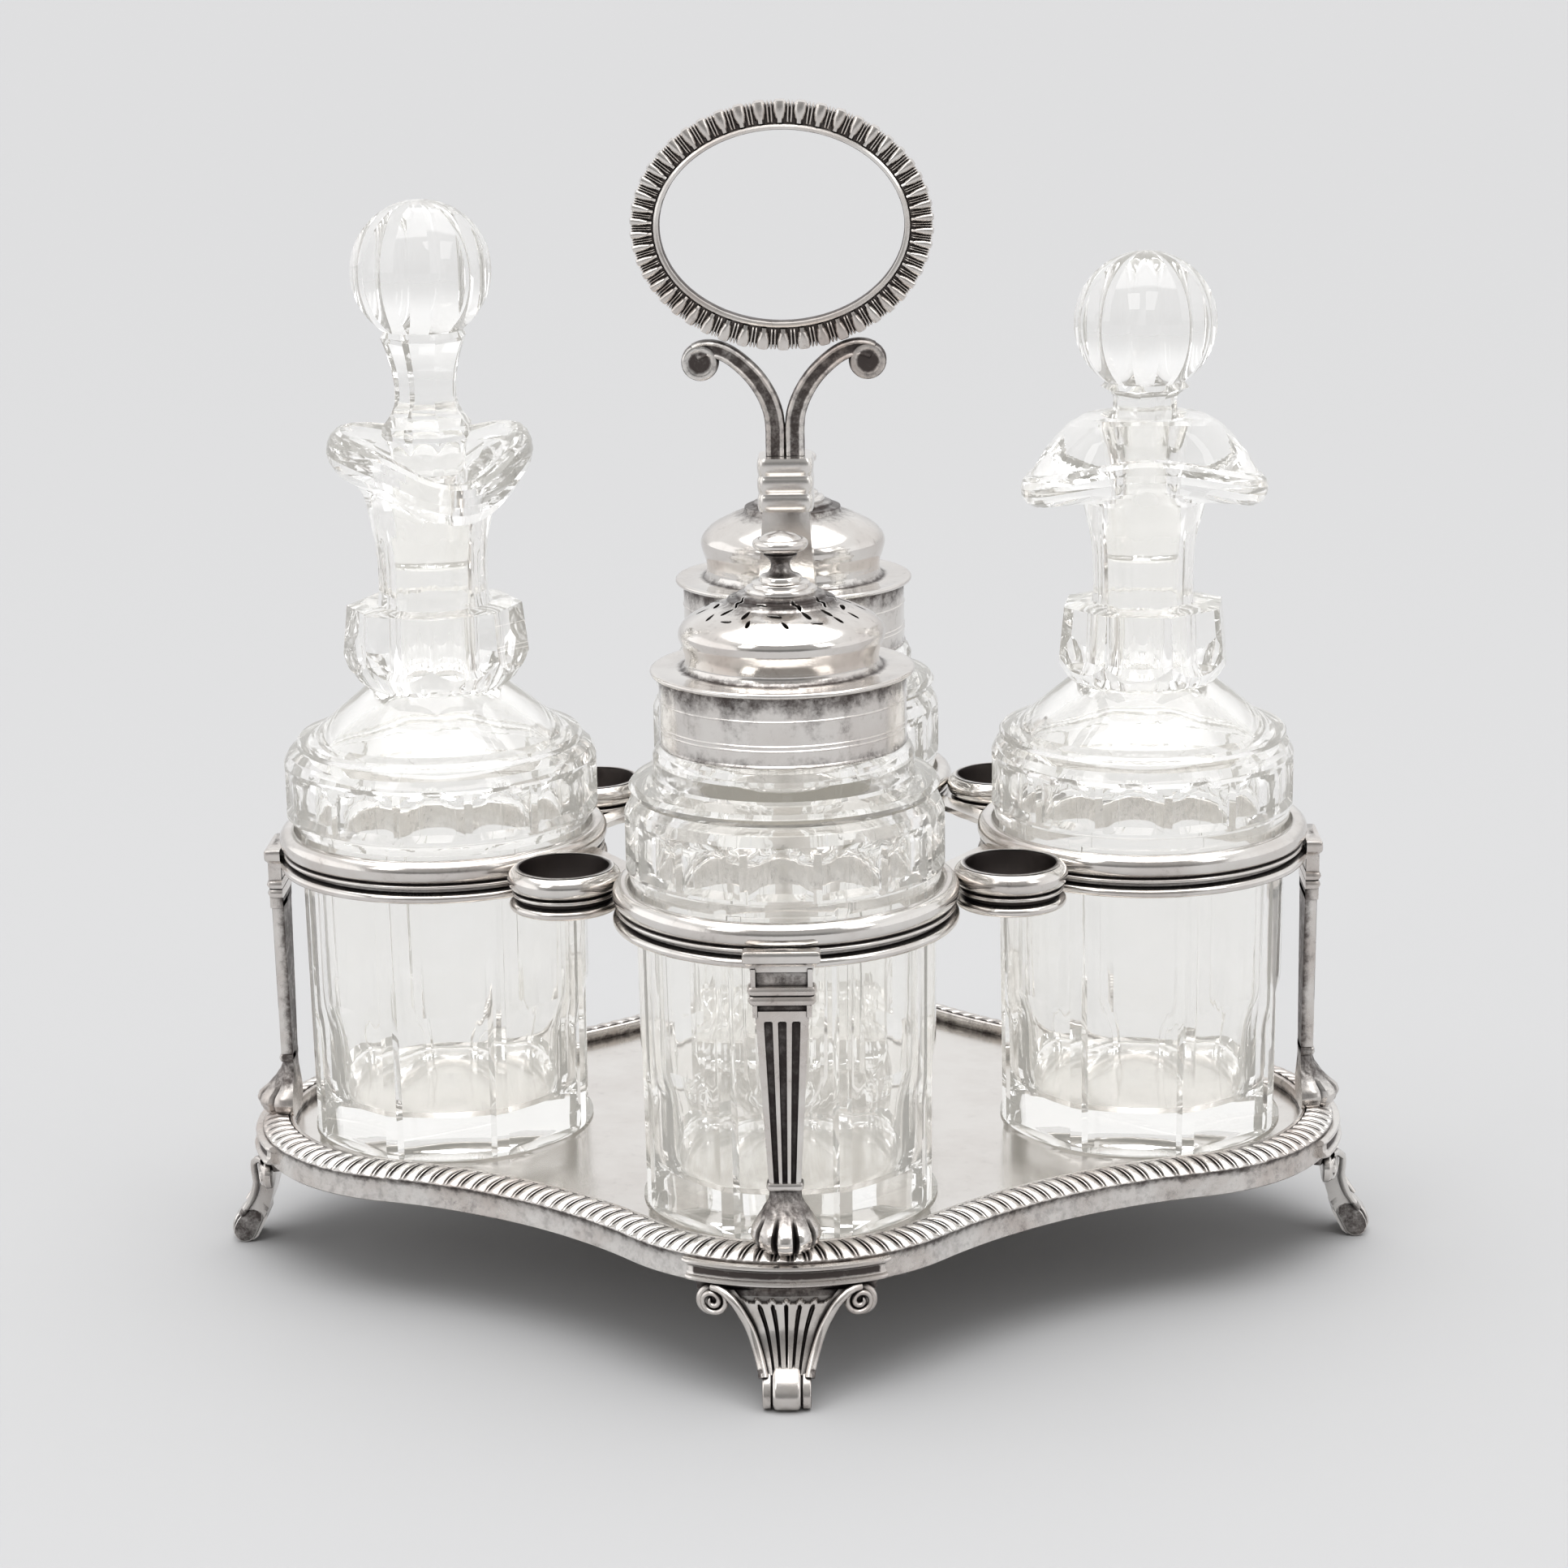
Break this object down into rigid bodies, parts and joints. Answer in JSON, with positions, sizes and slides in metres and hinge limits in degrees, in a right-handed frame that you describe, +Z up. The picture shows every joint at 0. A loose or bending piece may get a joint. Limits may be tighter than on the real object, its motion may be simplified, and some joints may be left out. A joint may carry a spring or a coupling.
{
  "type": "table cruet set",
  "caption": "Footed silver stand with a carrying loop that holds faceted glass bottles with ball stoppers and domed-lid glass casters in moulded rings.",
  "frame": {"origin": "on the table under the centre of the tray", "axes": "+Z up; the bottles stand at +X and -X; the caster with the pierced lid stands at -Y, which is the front, and the one with the blind lid at +Y"},
  "size_m": [0.2492, 0.1932, 0.2436],
  "materials": {
    "silver": "polished, with dark tarnish in the recesses",
    "crystal": "clear cut lead crystal",
    "plaster": "matt white plaster cement",
    "brass": "dull, aged"
  },
  "bodies": {
    "stand": {"tray_plate": "silver", "tray_border": "silver", "bottle_ring_front": "silver", "bottle_ring_back": "silver", "bottle_ring_left": "silver", "bottle_ring_right": "silver", "stopper_ring_front_left": "silver", "stopper_ring_front_right": "silver", "stopper_ring_back_left": "silver", "stopper_ring_back_right": "silver", "ring_strap_front_left": "silver", "ring_strap_front_right": "silver", "ring_strap_back_left": "silver", "ring_strap_back_right": "silver", "pilaster_front": "silver", "pilaster_back": "silver", "pilaster_left": "silver", "pilaster_right": "silver", "foot_front": "silver", "foot_back": "silver", "foot_left": "silver", "foot_right": "silver", "stem_column": "silver", "stem_collar": "silver", "stem_stud": "brass", "stem_washer": "brass", "stem_nut": "brass", "handle_arm_left": "silver", "handle_arm_right": "silver", "handle_loop": "silver"},
    "bottle_left": {"bottle_left_glass": "crystal"},
    "stopper_left": {"stopper_left": "crystal"},
    "bottle_right": {"bottle_right_glass": "crystal"},
    "stopper_right": {"stopper_right": "crystal"},
    "caster_front": {"caster_front_glass": "crystal", "caster_front_collar": "silver", "caster_front_cement": "plaster"},
    "lid_front": {"caster_front_lid": "silver", "caster_front_finial": "silver"},
    "caster_back": {"caster_back_glass": "crystal", "caster_back_collar": "silver", "caster_back_cement": "plaster"},
    "lid_back": {"caster_back_lid": "silver", "caster_back_finial": "silver"}
  },
  "joints": [
    {"name": "bottle_left_lift", "type": "slide", "parent": "stand", "child": "bottle_left", "axis": [0, 0, 1], "range_m": [0, 0.08]},
    {"name": "bottle_right_lift", "type": "slide", "parent": "stand", "child": "bottle_right", "axis": [0, 0, 1], "range_m": [0, 0.08]},
    {"name": "caster_front_lift", "type": "slide", "parent": "stand", "child": "caster_front", "axis": [0, 0, 1], "range_m": [0, 0.08]},
    {"name": "caster_back_lift", "type": "slide", "parent": "stand", "child": "caster_back", "axis": [0, 0, 1], "range_m": [0, 0.08]},
    {"name": "stopper_left_pull", "type": "slide", "parent": "bottle_left", "child": "stopper_left", "axis": [0, 0, 1], "range_m": [0, 0.035]},
    {"name": "stopper_right_pull", "type": "slide", "parent": "bottle_right", "child": "stopper_right", "axis": [0, 0, 1], "range_m": [0, 0.035]},
    {"name": "lid_front_pull", "type": "slide", "parent": "caster_front", "child": "lid_front", "axis": [0, 0, 1], "range_m": [0, 0.025]},
    {"name": "lid_back_pull", "type": "slide", "parent": "caster_back", "child": "lid_back", "axis": [0, 0, 1], "range_m": [0, 0.025]}
  ]
}
